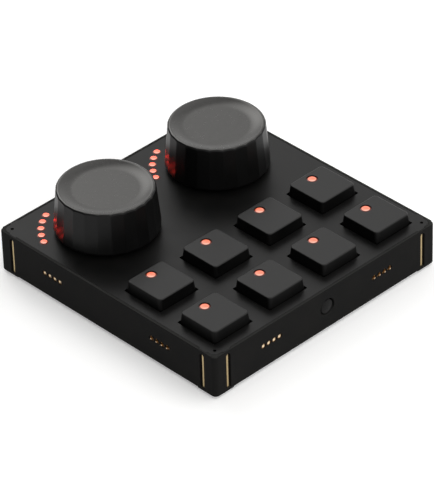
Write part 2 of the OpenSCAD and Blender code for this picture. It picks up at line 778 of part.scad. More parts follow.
module encoder_bodies() color("#6d7073") at_knobs() difference() {
    union() {
        translate([-enc_w / 2, -enc_d / 2, board_z]) cube([enc_w, enc_d, enc_top - board_z]);
        translate([0, 0, enc_top - 1])
            cylinder(r = neck_r, h = top_z + neck_rise - enc_top + 1, $fn = round_n);
    }
    translate([0, 0, enc_well])
        cylinder(r = collar_r + collar_gap, h = collar_top - enc_well, $fn = round_n);
    translate([0, 0, enc_well])
        cylinder(r = shaft_r + shaft_gap, h = case_h, $fn = round_n);
}

module encoder_washers() color("silver") at_knobs() translate([0, 0, top_z]) difference() {
    cylinder(r = washer_r, h = washer_t, $fn = 48);
    translate([0, 0, -1]) cylinder(r = neck_r + neck_gap, h = washer_t + 2, $fn = 48);
}

module encoder_nuts() color("silver") at_knobs() translate([0, 0, top_z + washer_t])
    difference() {
        cylinder(r = nut_af / 2 / cos(30), h = nut_t, $fn = 6);
        translate([0, 0, -1]) cylinder(r = neck_r + thread_gap, h = nut_t + 2, $fn = 48);
    }

// Disc under the shaft that slides but doesn't turn
module plunger(s) color(graphite) translate([s * knob_off, knob_off, plunger_foot]) {
    cylinder(r = collar_r, h = plunger_t, $fn = 48);
    translate([0, 0, -nub_h]) cylinder(r = nub_r, h = nub_h + eps, $fn = small_n);
}

module shaft(s) color("#b9bcc0") translate([s * knob_off, knob_off, 0]) difference() {
    union() {
        translate([0, 0, shaft_foot]) cylinder(r = collar_r, h = collar_h, $fn = 48);
        translate([0, 0, shaft_foot])
            cylinder(r = shaft_r, h = top_z + shaft_rise - shaft_foot, $fn = round_n);
    }
    translate([-shaft_r, shaft_r - shaft_flat, flat_z])
        cube([2 * shaft_r, 2 * shaft_r, knob_rise]);
}

// Half of a knob's section, from the axis out: the dished top, the rim and the side
module knob_section() {
    side_r = knob_top_r;
    rim_c = side_r - knob_rim_r;
    slope = 24;
    rim_in = rim_c - knob_rim_r * sin(slope);
    rim_z = knob_top - knob_rim_r + knob_rim_r * cos(slope);
    floor_z = knob_top - dish_deep;
    dish = [for (k = [0:8]) let(t = k / 8)
        [dish_r + (rim_in - dish_r) * t, floor_z + (rim_z - floor_z) * t * t]];
    rim = [for (a = [90 + slope - 12:-12:knob_lean])
        [rim_c + knob_rim_r * cos(a), knob_top - knob_rim_r + knob_rim_r * sin(a)]];
    foot_c = knob_base_r - knob_foot_r;
    foot_z = top_z + knob_lift;
    foot = [for (a = [0:-15:-90])
        [foot_c + knob_foot_r * cos(a), foot_z + knob_foot_r + knob_foot_r * sin(a)]];
    polygon(concat([[0, foot_z], [0, floor_z]], dish, rim, foot));
}

module knob(s) color(black) translate([s * knob_off, knob_off, 0]) difference() {
    rotate_extrude($fn = 96) knob_section();
    // Flats round the side, which leave the corners of the facets on the revolved form
    for (k = [0:knob_facets - 1]) rotate([0, 0, 360 / knob_facets * k])
        translate([knob_base_r * cos(180 / knob_facets), 0, top_z + knob_lift + knob_foot_r])
            rotate([0, -knob_lean, 0]) translate([0, -knob_base_r / 4, -3])
                cube([5, knob_base_r / 2, knob_rise + 6]);
    knob_hollow();
    // Bore for the shaft and its flat
    difference() {
        translate([0, 0, hub_foot - 1])
            cylinder(r = shaft_r + press_gap, h = hub_top - hub_foot + 1, $fn = round_n);
        translate([-shaft_r - 1, shaft_r - shaft_flat + press_gap, flat_z + press_gap])
            cube([2 * shaft_r + 2, 2 * shaft_r, knob_rise]);
    }
}

// Space inside a knob, less its hub and ribs
module knob_hollow() {
    roof_z = knob_top - dish_deep - knob_top_t;
    foot_z = top_z + knob_lift;
    difference() {
        translate([0, 0, foot_z - 1])
            cylinder(r = knob_top_r - knob_wall, h = roof_z - foot_z + 1, $fn = 96);
        translate([0, 0, hub_foot]) cylinder(r = hub_r, h = knob_rise, $fn = round_n);
        for (k = [0:rib_count - 1]) rotate([0, 0, 360 / rib_count * k])
            translate([hub_r - 1, -rib_t / 2, top_z + rib_lift])
                cube([knob_base_r - hub_r, rib_t, knob_rise]);
    }
}

module stadium(w, h) {
    square([w - h, h], center = true);
    for (s = [-1, 1]) translate([s * (w - h) / 2, 0]) circle(d = h, $fn = 48);
}

// Shell with a closed back and a solder ear on each side
module usb_shell() color("#c4c7ca") on_sides([2]) {
    difference() {
        translate([0, usb_sink, edge_z]) rotate([-90, 0, 0]) linear_extrude(usb_l)
            stadium(usb_w, usb_h);
        translate([0, usb_sink - 1, edge_z]) rotate([-90, 0, 0])
            linear_extrude(usb_l + 1 - usb_wall)
                stadium(usb_w - 2 * usb_wall, usb_h - 2 * usb_wall);
    }
    for (m = [0, 1]) mirror([m, 0, 0])
        translate([usb_w / 2 - ear_root, usb_sink + usb_l - ear_l, board_z])
            cube([ear_root + ear_w, ear_l, ear_t]);
}

module usb_tongue() color(black) on_sides([2])
    translate([-tongue_w / 2, usb_sink + tongue_in, edge_z - tongue_t / 2])
        cube([tongue_w, usb_l - tongue_in - usb_wall, tongue_t]);

module side_button() color(black) on_sides([0]) translate([0, 0, edge_z]) {
    translate([0, wall_t + eps, 0]) rotate([90, 0, 0])
        domed_rod(button_hole_r - button_gap, wall_t + eps - button_sink, button_dome);
    rod(button_flange_r, wall_t, wall_t + button_flange_t, 48);
    rod(button_stem_r, wall_t, stem_y);
}

module tact_plunger() color("#d8d4c8") on_sides([0]) translate([0, 0, edge_z])
    rod(tact_r, stem_y, tact_y + tact_in);

module tact_switch() color("#7c7f83") on_sides([0]) difference() {
    translate([-tact_w / 2, tact_y, edge_z - tact_h / 2]) cube([tact_w, tact_d, tact_h]);
    translate([0, 0, edge_z])
        rod(tact_r + tact_gap, tact_y - 1, tact_y + tact_in + button_travel + button_air);
}

// Flat rounded slab for a keycap's section at one height
module cap_slab(w, r, z, h = eps) {
    translate([0, 0, z]) linear_extrude(h)
        for (sx = [-1, 1], sy = [-1, 1])
            translate([sx * (w / 2 - r), sy * (w / 2 - r)]) circle(r, $fn = 32);
}

module keycap(i) color(graphite) translate([key_x(i), key_y(i), 0]) {
    foot_z = top_z - key_sink;
    face_z = top_z + key_rise;
    difference() {
        hull() {
            cap_slab(key_base_w, key_r, foot_z);
            // The rounded upper edge, in four steps
            for (a = [0:30:90]) cap_slab(key_top_w - 2 * cap_edge * (1 - cos(a)),
                                         key_r - cap_edge * (1 - cos(a)),
                                         face_z - eps - cap_edge * (1 - sin(a)));
        }
        hull() {
            cap_slab(key_base_w - 2 * cap_t, cap_inner_r, foot_z - 1);
            cap_slab(key_top_w - 2 * cap_t, cap_inner_r, stem_top - eps);
        }
        translate([0, window_off, stem_top - 1])
            cylinder(d = window_d, h = cap_top_t + 2, $fn = 48);
    }
    for (s = [-1, 1]) translate([s * leg_off - leg_w / 2, -leg_d / 2, stem_top - leg_l])
        cube([leg_w, leg_d, leg_l + eps]);
}

module key_window(i) color("#ff5a3c") translate([key_x(i), key_y(i) + window_off, stem_top])
    domed_rod(window_d / 2 - window_gap, cap_top_t - window_sink + window_dome, window_dome);

module key_stem(i) color("#7d3b33") translate([key_x(i), key_y(i), 0]) difference() {
    union() {
        translate([-stem_w / 2, -stem_d / 2, stem_foot])
            cube([stem_w, stem_d, stem_top - stem_foot]);
        translate([-stem_w / 2 - stem_lip - slide_gap, -stem_d / 2 - stem_lip - slide_gap,
                   stem_foot])
            cube([stem_w + 2 * stem_lip + 2 * slide_gap, stem_d + 2 * stem_lip + 2 * slide_gap,
                  stem_stop - stem_foot]);
    }
    translate([0, 0, stem_foot - 1])
        cylinder(d = spring_d + 2 * spring_gap, h = spring_seat + 1, $fn = 32);
    for (s = [-1, 1])
        translate([s * leg_off - leg_w / 2 - leg_gap, -leg_d / 2 - leg_gap,
                   stem_top - leg_l - leg_gap])
            cube([leg_w + 2 * leg_gap, leg_d + 2 * leg_gap, leg_l + 1]);
}

case_frame();
face_plate();
base_cover();
main_board();
board_chips();
standoffs();
base_screws();
rubber_feet();
rod_magnets();
dock_blocks();
contact_pads();
pin_sleeves();
spring_pins(0);  // pins_front
spring_pins(1);  // pins_right
spring_pins(2);  // pins_rear
spring_pins(3);  // pins_left
switch_bases();
switch_covers();
switch_springs();
key_leds();
arc_leds();
light_guides();
encoder_bodies();
encoder_washers();
encoder_nuts();
plunger(-1);  // plunger_left
plunger(1);  // plunger_right
shaft(-1);  // shaft_left
shaft(1);  // shaft_right
knob(-1);  // knob_left
knob(1);  // knob_right
usb_shell();
usb_tongue();
side_button();
tact_plunger();
tact_switch();
for (i = [0:7]) {
    keycap(i);
    key_window(i);
    key_stem(i);
}
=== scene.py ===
import math

import bmesh
import bpy
from mathutils import Matrix, Vector


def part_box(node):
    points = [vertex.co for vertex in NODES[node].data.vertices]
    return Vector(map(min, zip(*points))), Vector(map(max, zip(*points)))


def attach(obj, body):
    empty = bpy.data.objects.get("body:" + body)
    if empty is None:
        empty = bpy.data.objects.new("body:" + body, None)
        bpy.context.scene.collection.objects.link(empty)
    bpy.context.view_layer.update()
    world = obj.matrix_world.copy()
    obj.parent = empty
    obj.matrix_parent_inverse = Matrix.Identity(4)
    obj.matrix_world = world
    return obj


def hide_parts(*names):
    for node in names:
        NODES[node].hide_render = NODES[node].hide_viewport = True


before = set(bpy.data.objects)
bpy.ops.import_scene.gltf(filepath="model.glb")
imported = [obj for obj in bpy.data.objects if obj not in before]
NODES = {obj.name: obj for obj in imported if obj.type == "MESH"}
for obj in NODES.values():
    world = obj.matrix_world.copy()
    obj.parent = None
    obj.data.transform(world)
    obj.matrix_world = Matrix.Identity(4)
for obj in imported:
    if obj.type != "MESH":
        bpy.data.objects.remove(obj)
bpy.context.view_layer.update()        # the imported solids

# Looks of a square desktop control module: two jog knobs with arcs of lights and eight lit keys.
# Metres, +Z up, -Y is the side that faces the user.

MM = 0.001
KEYS = range(1, 9)
SIDES = ("left", "right")

# Camera, as fitted to the photograph
VIEW_AZIMUTH = math.radians(-43.39)
VIEW_ELEVATION = math.radians(35.96)
VIEW_ROLL = math.radians(-1.82)
VIEW_DISTANCE = 1.325
VIEW_TARGET = Vector((-0.00873, -0.00929, 0.0175))
LENS_MM = 281.2
SENSOR_MM = 36.0

# Heights and places, from the solids
TOP_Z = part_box("face_plate")[1].z
STEM_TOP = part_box("key_stem_1")[1].z

# Keycaps. The foot is wider on each side than its solid's by the flare, and the top's finish
# begins at the satin row of the outside's rings. Below it the sides take a darker, less glossy
# copy of the same plastic: painted shade on the sides.
CAP_TOP_W = 16.5 * MM
CAP_FOOT_FLARE = 0.25 * MM
CAP_CORNER_R = 1.6 * MM
CAP_INNER_R = 0.6 * MM
CAP_WALL = 1.1 * MM
CAP_EDGE = 0.4 * MM
CAP_EDGE_STEPS = 6
CAP_TOP_INSET = 0.05 * MM
CAP_HOLE_R = 1.95 * MM
CAP_HOLE_EDGE = 0.12 * MM
CAP_SATIN_ROW = 3
CAP_SHARP = math.radians(40)

# The two legs under each keycap
LEG_W = 1.2 * MM
LEG_D = 3.0 * MM
LEG_L = 2.6 * MM
LEG_OFF = 3.6 * MM

# Jog knobs. The land is how far the facets' corners are taken in, and its turn is how far to
# each side. The finish of the rim and the top begins at the satin row of the outside's rings.
KNOB_FACETS = 24
KNOB_HALF_FACET = math.pi / KNOB_FACETS
KNOB_TOP_R = 17.45 * MM
KNOB_RIM_R = 1.1 * MM
KNOB_FOOT_R = 0.8 * MM
KNOB_DISH_R = 11.5 * MM
KNOB_DISH_DEEP = 1.0 * MM
KNOB_RIM_SLOPE = math.radians(24)
KNOB_WALL = 2.0 * MM
KNOB_TOP_T = 2.0 * MM
KNOB_LAND = 0.012 * MM
KNOB_LAND_TURN = math.radians(0.3)
KNOB_FACET_STEPS = 4
KNOB_FOOT_STEPS = 6
KNOB_RIM_STEPS = 10
KNOB_DISH_STEPS = 12
KNOB_SATIN_ROW = 11
KNOB_SHARP = math.radians(30)
HALVINGS = 40

# Inside the knobs: the hub with its D-shaped bore, which is round over the lead, and the ribs
# between hub and wall, which are sunk into both
HUB_R = 5.0 * MM
HUB_LIFT = 4.4 * MM
HUB_LEAD = 0.5 * MM
HUB_LEAD_SLOPE = 0.05 * MM
BORE_R = 3.02 * MM
BORE_FLAT = 1.82 * MM
BORE_AIR = 0.1 * MM
RIB_COUNT = 8
RIB_T = 1.2 * MM
RIB_LIFT = 6.0 * MM
RIB_SUNK = 0.5 * MM

# Floor: its inner and outer radius, its pale tones, and the light of its own that keeps it white
FLOOR_RADII = (1.0, 5.0)
FLOOR_POINTS = 96
FLOOR_TONES = ((0.93,) * 3, (0.95,) * 3)
FLOOR_ROUGHNESS = 0.9
FLOOR_LEVEL = 0.1
FLOOR_LIFT = 0.25

# Finishes that some solids have instead of their slot's, by the start of their names
OWN_FINISH = {"key_window": "key_light", "rod_magnets": "magnet_rod", "pins_": "contact_tip",
              "pin_sleeves": "contact_sleeve", "contact_pads": "contact_cup"}

# The case's rim: the upward parts of the normal between which a lighter colour is painted on, as
# painted light on its top
PAINTED_TOP_LIGHT_AT = (0.2, 0.7)
PAINTED_TOP_LIGHT = (0.027, 0.027, 0.026)

# Plating: its browns, painted as shade and dark reflection where its rounding turns away, and how
# squarely it faces one of the case's sides where it turns from that painted shade to a pale
# painted highlight. The sleeves' brown is also their own colour. For the contact cups it is a
# distance from the middle instead.
PLATING_SHADE_BROWN = (0.12, 0.05, 0.012)
SLEEVE_BROWN_AND_CUP_SHADE = (0.16, 0.075, 0.02)
TIP_HIGHLIGHT_AT = (0.85, 0.985)
ROD_HIGHLIGHT_AT = (0.88, 0.98)
CUP_HIGHLIGHT_AT = (52.9 * MM, 52.8 * MM)
PLATE_ROUGHNESS = (0.28, 0.36)

# Fineness of the noise in the finishes, per metre
PATCH_SCALE = 160
MARK_SCALE = 900
FACET_PATCH_SCALE = 120
FLOOR_SCALE = 3

# Half the spread of roughness in plastics and on the facets
PLASTIC_SPREAD = 0.03
FACET_SPREAD = 0.01

# Studio light: its colour, an even fill, then each glow's direction, the cosines where it begins
# and is full, and its full strength
STUDIO_COLOUR = (1, 0.995, 0.985, 1)
STUDIO_FILL = 0.2
STUDIO_GLOWS = (((48, 15), 0.81, 1.0, 0.82), ((74, 41), 0.92, 1.0, 2.5),
                ((290, 12), -0.43, 0.61, 1.15))

# Lit guides: the light of a dome's face, of its paler side, which is a painted highlight, and of
# its deep red rim. Then the way the painted highlight faces, and how squarely a normal faces that
# way where it begins and is full.
# Then the depths below the dome's top, as shares of its rise, between which the rim turns into
# the face and the face into the core.
GLOW_COLOUR = (1.0, 0.25, 0.14)
GLOW_PAINTED_HIGHLIGHT = (1.0, 0.62, 0.5)
GLOW_RIM = (0.1, 0.012, 0.005)
GLOW_HIGHLIGHT_SIDE = (-0.6, -0.8, 0.0)
GLOW_HIGHLIGHT_AT = (0.08, 0.3)
GLOW_RIM_AT = (0.63, 0.5)
GLOW_CORE_AT = (0.3, 0.08)
GLOW_UNLIT = (0.03, 0.004, 0.002, 1)
GLOW_ROUGHNESS = 0.2

# The domes of guides and windows: how far they rise, and how strong the red of their core is
GUIDE_RISE = 0.35 * MM
WINDOW_RISE = 0.4 * MM
GUIDE_CORE = 24.0
WINDOW_CORE = 2.0


# Node materials

def material(name):
    """A new node material with its Principled shader."""
    mat = bpy.data.materials.new(name)
    mat.use_nodes = True
    return mat, mat.node_tree, mat.node_tree.nodes["Principled BSDF"]


def add_node(tree, kind, **values):
    """A node with the given properties or unlinked inputs set."""
    node = tree.nodes.new(kind)
    for key, value in values.items():
        if hasattr(node, key):
            setattr(node, key, value)
        else:
            node.inputs[key].default_value = value
    return node


def noise(tree, scale, detail=3.0):
    """A noise value, 0 to 1, over the object's own metres."""
    place = add_node(tree, "ShaderNodeTexCoord")
    tex = add_node(tree, "ShaderNodeTexNoise", Scale=scale, Detail=detail)
    tree.links.new(place.outputs["Object"], tex.inputs["Vector"])
    return tex.outputs["Fac"]


def to_range(tree, value, low, high, start=0.3, stop=0.7):
    """Maps a value from start..stop to low..high."""
    node = add_node(tree, "ShaderNodeMapRange")
    node.inputs["From Min"].default_value = start
    node.inputs["From Max"].default_value = stop
    node.inputs["To Min"].default_value = low
    node.inputs["To Max"].default_value = high
    tree.links.new(value, node.inputs["Value"])
    return node.outputs["Result"]


def blend_colour(tree, value, first, second):
    """A colour from first, at 0, to second, at 1."""
    node = add_node(tree, "ShaderNodeMix", data_type="RGBA")
    node.inputs["A"].default_value = (*first, 1)
    node.inputs["B"].default_value = (*second, 1)
    tree.links.new(value, node.inputs["Factor"])
    return node.outputs["Result"]


def join_colours(tree, factor, first, second):
    """A colour between two others, each a linked socket or None."""
    mix = add_node(tree, "ShaderNodeMix", data_type="RGBA")
    for socket, value in (("Factor", factor), ("A", first), ("B", second)):
        if value is not None:
            tree.links.new(value, mix.inputs[socket])
    return mix.outputs["Result"]


def split_vector(tree, vector):
    """The outputs X, Y and Z of a vector."""
    split = add_node(tree, "ShaderNodeSeparateXYZ")
    tree.links.new(vector, split.inputs["Vector"])
    return split.outputs


def grain(tree, shader, scale, distance, edge=0.0):
    """Fine relief, and edges rounded by shading over the width given."""
    bump = add_node(tree, "ShaderNodeBump", Strength=1.0, Distance=distance)
    tree.links.new(noise(tree, scale, 2), bump.inputs["Height"])
    if edge:
        bevel = add_node(tree, "ShaderNodeBevel", samples=6)
        bevel.inputs["Radius"].default_value = edge
        tree.links.new(bevel.outputs["Normal"], bump.inputs["Normal"])
    tree.links.new(bump.outputs["Normal"], shader.inputs["Normal"])


def moulded(name, dark, light, roughness, level, edge=0.1 * MM, texture=9000, relief=0.004 * MM,
            painted_top_light=None):
    """Moulded or painted plastic: a fine grain, with patches a little more or less polished, and a
    lighter colour painted where it faces up, as painted light on its top, if one is given."""
    mat, tree, shader = material(name)
    patches = noise(tree, PATCH_SCALE, 4)
    colour = blend_colour(tree, to_range(tree, patches, 0, 1), dark, light)
    # Painted light: a lighter colour where the surface faces up, standing for the light on the
    # case's top
    if painted_top_light:
        normal = add_node(tree, "ShaderNodeNewGeometry").outputs["Normal"]
        up = to_range(tree, split_vector(tree, normal)["Z"], 0, 1, *PAINTED_TOP_LIGHT_AT)
        colour = join_colours(tree, up, colour, None)
        colour.node.inputs["B"].default_value = (*painted_top_light, 1)
    tree.links.new(colour, shader.inputs["Base Color"])
    tree.links.new(to_range(tree, patches, roughness - PLASTIC_SPREAD, roughness + PLASTIC_SPREAD),
                   shader.inputs["Roughness"])
    shader.inputs["Specular IOR Level"].default_value = level
    grain(tree, shader, texture, relief, edge)
    return mat


def metal(name, dark, light, roughness, edge=0.1 * MM, texture=4000, relief=0.002 * MM,
          spread=0.05):
    """Metal with fine marks from its machining or plating."""
    mat, tree, shader = material(name)
    marks = noise(tree, MARK_SCALE, 4)
    tree.links.new(blend_colour(tree, to_range(tree, marks, 0, 1), dark, light),
                   shader.inputs["Base Color"])
    tree.links.new(to_range(tree, marks, roughness - spread, roughness + spread),
                   shader.inputs["Roughness"])
    shader.inputs["Metallic"].default_value = 1.0
    grain(tree, shader, texture, relief, edge)
    return mat


def glowing(name, core, solid, rise):
    """A lit light guide: salmon over its dome, with a paler painted highlight where the dome faces
    the user's left, and deep red where it meets its wall. The core's red is as strong as its
    reflections need."""
    mat, tree, shader = material(name)
    shader.inputs["Roughness"].default_value = GLOW_ROUGHNESS
    shader.inputs["Base Color"].default_value = GLOW_UNLIT
    geometry = add_node(tree, "ShaderNodeNewGeometry")
    lean = add_node(tree, "ShaderNodeVectorMath", operation="DOT_PRODUCT")
    lean.inputs[1].default_value = GLOW_HIGHLIGHT_SIDE
    tree.links.new(geometry.outputs["Normal"], lean.inputs[0])
    # Painted highlight: paler light where the dome's normal faces the user's left
    pale = to_range(tree, lean.outputs["Value"], 0, 1, *GLOW_HIGHLIGHT_AT)
    top = max(v.co.z for v in NODES[solid].data.vertices)
    height = split_vector(tree, add_node(tree, "ShaderNodeTexCoord").outputs["Object"])["Z"]
    inside, middle = (to_range(tree, height, 0, 1, *(top - depth * rise for depth in depths))
                      for depths in (GLOW_RIM_AT, GLOW_CORE_AT))
    rim, face, side = ([part / core for part in light]
                       for light in (GLOW_RIM, GLOW_COLOUR, GLOW_PAINTED_HIGHLIGHT))
    outer = blend_colour(tree, pale, face, side)
    centre = blend_colour(tree, pale, [1.0] + face[1:], [1.0] + side[1:])
    whole = join_colours(tree, inside, None, join_colours(tree, middle, outer, centre))
    whole.node.inputs["A"].default_value = (*rim, 1)
    tree.links.new(whole, shader.inputs["Emission Color"])
    shader.inputs["Emission Strength"].default_value = core
    return mat


def plating_with_painted_shade(name, dark, light, highlight_at, cups=False):
    """Plating with painted light: a pale painted highlight where it faces one of the case's own
    four sides squarely, and brown painted shade and dark reflection where its rounding turns away
    from them, or where it stands as near to them as the rims of the contact cups."""
    mat, tree, shader = material(name)
    if cups:
        place = add_node(tree, "ShaderNodeTexCoord").outputs["Object"]
    else:
        place = add_node(tree, "ShaderNodeNewGeometry").outputs["Normal"]
    parts = split_vector(tree, place)
    largest = add_node(tree, "ShaderNodeMath", operation="MAXIMUM")
    for k, axis in enumerate(("X", "Y")):
        size = add_node(tree, "ShaderNodeMath", operation="ABSOLUTE")
        tree.links.new(parts[axis], size.inputs[0])
        tree.links.new(size.outputs["Value"], largest.inputs[k])
    # Painted light: pale painted highlight where it faces a side squarely, brown painted shade
    # where it turns away or at the cup rims
    painted_shading = to_range(tree, largest.outputs["Value"], 0, 1, *highlight_at)
    tree.links.new(blend_colour(tree, painted_shading, dark, light), shader.inputs["Base Color"])
    tree.links.new(to_range(tree, noise(tree, MARK_SCALE, 4), *PLATE_ROUGHNESS),
                   shader.inputs["Roughness"])
    shader.inputs["Metallic"].default_value = 1.0
    return mat


def polished(name, dark, light, roughness, level, texture=600, relief=0.001 * MM):
    """Polished dark facets: almost no colour of their own, only reflections."""
    mat, tree, shader = material(name)
    patches = noise(tree, FACET_PATCH_SCALE)
    tree.links.new(blend_colour(tree, patches, dark, light), shader.inputs["Base Color"])
    tree.links.new(to_range(tree, patches, roughness - FACET_SPREAD, roughness + FACET_SPREAD),
                   shader.inputs["Roughness"])
    shader.inputs["Specular IOR Level"].default_value = level
    grain(tree, shader, texture, relief)
    return mat


def make_materials():
    """All finishes, by the record's slot names, or by names of their own where some solids or
    faces differ from their slot."""
    return {
        "case_shell": moulded("case_paint", (0.009,) * 3, (0.0115, 0.0112, 0.0108), 0.55, 0.02,
                              edge=0.15 * MM, painted_top_light=PAINTED_TOP_LIGHT),
        "face_laminate": moulded("face_satin", (0.003,) * 3, (0.004, 0.0038, 0.0036), 0.35, 0.23,
                                 edge=0.12 * MM),
        "keycap": moulded("key_plastic", (0.0015,) * 3, (0.0025, 0.0024, 0.0022), 0.36, 0.35),
        # The keycap plastic again, darker and less glossy: painted shade for the keycaps' sides
        "key_sides": moulded("key_plastic_sides", (0.0012,) * 3, (0.002, 0.0019, 0.0018), 0.4,
                             0.15),
        "knob": metal("knob_satin", (0.084, 0.083, 0.081), (0.09, 0.089, 0.087), 0.26, edge=0,
                      texture=2500, relief=0.0003 * MM, spread=0.015),
        "knob_facets": polished("knob_polished", (0.001,) * 3, (0.002,) * 3, 0.36, 0.19),
        "light_guide": glowing("lit_guide", GUIDE_CORE, "light_guides", GUIDE_RISE),
        "key_light": glowing("lit_window", WINDOW_CORE, "key_window_1", WINDOW_RISE),
        "contact_tip": plating_with_painted_shade("contact_gold", PLATING_SHADE_BROWN, (0.66, 0.5, 0.34), TIP_HIGHLIGHT_AT),
        "contact_sleeve": metal("sleeve_gold", SLEEVE_BROWN_AND_CUP_SHADE, (0.22, 0.11, 0.03), 0.3),
        "contact_cup": plating_with_painted_shade("cup_gold", SLEEVE_BROWN_AND_CUP_SHADE, (0.7, 0.54, 0.36), CUP_HIGHLIGHT_AT,
                              cups=True),
        "magnet_rod": plating_with_painted_shade("magnet_gold", PLATING_SHADE_BROWN, (0.45, 0.35, 0.19), ROD_HIGHLIGHT_AT),
        "brass": metal("brass", (0.55, 0.38, 0.14), (0.65, 0.47, 0.2), 0.35),
        "steel": metal("steel", (0.42, 0.42, 0.43), (0.52, 0.52, 0.53), 0.35),
        "plated_steel": metal("plated_steel", (0.5, 0.5, 0.5), (0.62, 0.62, 0.62), 0.28),
        "encoder_case": metal("encoder_case", (0.3, 0.31, 0.32), (0.38, 0.39, 0.4), 0.4),
        "board": moulded("board_green", (0.004, 0.03, 0.014), (0.006, 0.045, 0.02), 0.35, 0.5),
        "chip": moulded("chip_black", (0.012,) * 3, (0.018,) * 3, 0.55, 0.4),
        "led": moulded("led_body", (0.6, 0.58, 0.5), (0.7, 0.68, 0.6), 0.4, 0.5),
        "switch_housing": moulded("switch_black", (0.01,) * 3, (0.014,) * 3, 0.45, 0.4),
        "key_stem": moulded("stem_red", (0.16, 0.03, 0.02), (0.2, 0.04, 0.028), 0.4, 0.5),
        "contact_block": moulded("block_black", (0.008,) * 3, (0.012,) * 3, 0.5, 0.4),
        "inner_plastic": moulded("inner_black", (0.01,) * 3, (0.015,) * 3, 0.5, 0.4),
        "case_button": moulded("button_black", (0.008,) * 3, (0.01,) * 3, 0.4, 0.06),
        "rubber": moulded("rubber", (0.012,) * 3, (0.018,) * 3, 0.8, 0.3, texture=3000,
                          relief=0.01 * MM),
    }


# Mesh helpers

def loft(bm, rings):
    """Joins closed rings of points with quads and returns the rings of vertices."""
    made = [[bm.verts.new(p) for p in ring] for ring in rings]
    for low, high in zip(made, made[1:]):
        for k in range(len(low)):
            n = (k + 1) % len(low)
            bm.faces.new((low[k], low[n], high[n], high[k]))
    return made


def ring_edges(bm, ring):
    """The edges round a ring of vertices."""
    return [bm.edges.get((ring[k], ring[(k + 1) % len(ring)])) for k in range(len(ring))]


def fill(bm, *rings):
    """Fills a flat face between an outer ring and any rings inside it."""
    edges = [e for ring in rings for e in ring_edges(bm, ring)]
    bmesh.ops.triangle_fill(bm, use_beauty=True, use_dissolve=False, edges=edges)


def circle(x, y, r, z, n=48):
    """Points round a circle."""
    return [Vector((x + r * math.cos(math.tau * k / n), y + r * math.sin(math.tau * k / n), z))
            for k in range(n)]


def middle(low, high):
    """The middle of a box, seen from above."""
    return (low.x + high.x) / 2, (low.y + high.y) / 2


def rounded_square(x, y, w, r, z, steps=10):
    """Points round a square of width w with corners of radius r."""
    points = []
    for q in range(4):
        mid = math.radians(90 * q + 45)
        cx = x + math.copysign(w / 2 - r, math.cos(mid))
        cy = y + math.copysign(w / 2 - r, math.sin(mid))
        for k in range(steps + 1):
            a = math.radians(90 * q + 90 * k / steps)
            points.append(Vector((cx + r * math.cos(a), cy + r * math.sin(a), z)))
    return points


def box_in(bm, low, high):
    """A closed box between two corners, as its vertices."""
    made = bmesh.ops.create_cube(bm, size=1)["verts"]
    size = Vector(high) - Vector(low)
    for v in made:
        v.co = Vector(low) + Vector((s * (c + 0.5) for s, c in zip(size, v.co)))
    return made


def piece(name, bm, slot, body, finish, replaces, extra):
    """Turns the mesh into a shown piece that rides on a body and stands for solids, with its
    slot's finish and one more."""
    bmesh.ops.recalc_face_normals(bm, faces=bm.faces)
    mesh = bpy.data.meshes.new(name)
    bm.to_mesh(mesh)
    bm.free()
    mesh.shade_smooth()
    for each in (slot, extra):
        mesh.materials.append(finish[each])
    obj = bpy.data.objects.new(name, mesh)
    bpy.context.scene.collection.objects.link(obj)
    shade = obj.modifiers.new("even_shading", "WEIGHTED_NORMAL")
    shade.keep_sharp = True
    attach(obj, body)
    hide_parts(*replaces)


def mark_sharp(bm, angle):
    """Marks edges whose faces meet at more than the angle."""
    for e in bm.edges:
        if len(e.link_faces) == 2 and e.calc_face_angle(0) > angle:
            e.smooth = False


# Keycaps

def make_keycap(i, finish):
    """A keycap: tapered walls, a rounded upper edge, the hole for its light and two legs."""
    low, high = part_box(f"keycap_{i}")
    x, y = middle(low, high)
    foot_w = high.x - low.x
    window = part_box(f"key_window_{i}")
    window_x, window_y = middle(*window)
    outer = [rounded_square(x, y, foot_w + 2 * CAP_FOOT_FLARE, CAP_CORNER_R, low.z)]
    for step in range(CAP_EDGE_STEPS + 1):
        a = math.pi / 2 * step / CAP_EDGE_STEPS
        inset = CAP_EDGE * (1 - math.cos(a))
        outer.append(rounded_square(x, y, CAP_TOP_W - 2 * inset, CAP_CORNER_R - inset,
                                    high.z - CAP_EDGE * (1 - math.sin(a))))
    inset = CAP_EDGE + CAP_TOP_INSET
    outer.append(rounded_square(x, y, CAP_TOP_W - 2 * inset, CAP_CORNER_R - inset, high.z))
    hole = [circle(window_x, window_y, CAP_HOLE_R + CAP_HOLE_EDGE, high.z),
            circle(window_x, window_y, CAP_HOLE_R, high.z - CAP_HOLE_EDGE),
            circle(window_x, window_y, CAP_HOLE_R, STEM_TOP)]
    inner = [rounded_square(x, y, CAP_TOP_W - 2 * CAP_WALL, CAP_INNER_R, STEM_TOP),
             rounded_square(x, y, foot_w - 2 * CAP_WALL, CAP_INNER_R, low.z)]
    bm = bmesh.new()
    outside = loft(bm, outer)
    well = loft(bm, hole)
    inside = loft(bm, inner)
    fill(bm, outside[-1], well[0])
    fill(bm, inside[0], well[-1])
    fill(bm, outside[0], inside[-1])
    for side in (-1, 1):
        box_in(bm, (x + side * LEG_OFF - LEG_W / 2, y - LEG_D / 2, STEM_TOP - LEG_L),
               (x + side * LEG_OFF + LEG_W / 2, y + LEG_D / 2, STEM_TOP))
    # Faces below the satin rows take the darker copy of the plastic: painted shade on the sides
    top = {v for ring in outside[CAP_SATIN_ROW:] + well[:1] for v in ring}
    for f in bm.faces:
        f.material_index = 0 if top.issuperset(f.verts) else 1
    mark_sharp(bm, CAP_SHARP)
    piece(f"key_cap_{i}", bm, "keycap", f"key_{i}", finish, [f"keycap_{i}"], "key_sides")


# Jog knobs

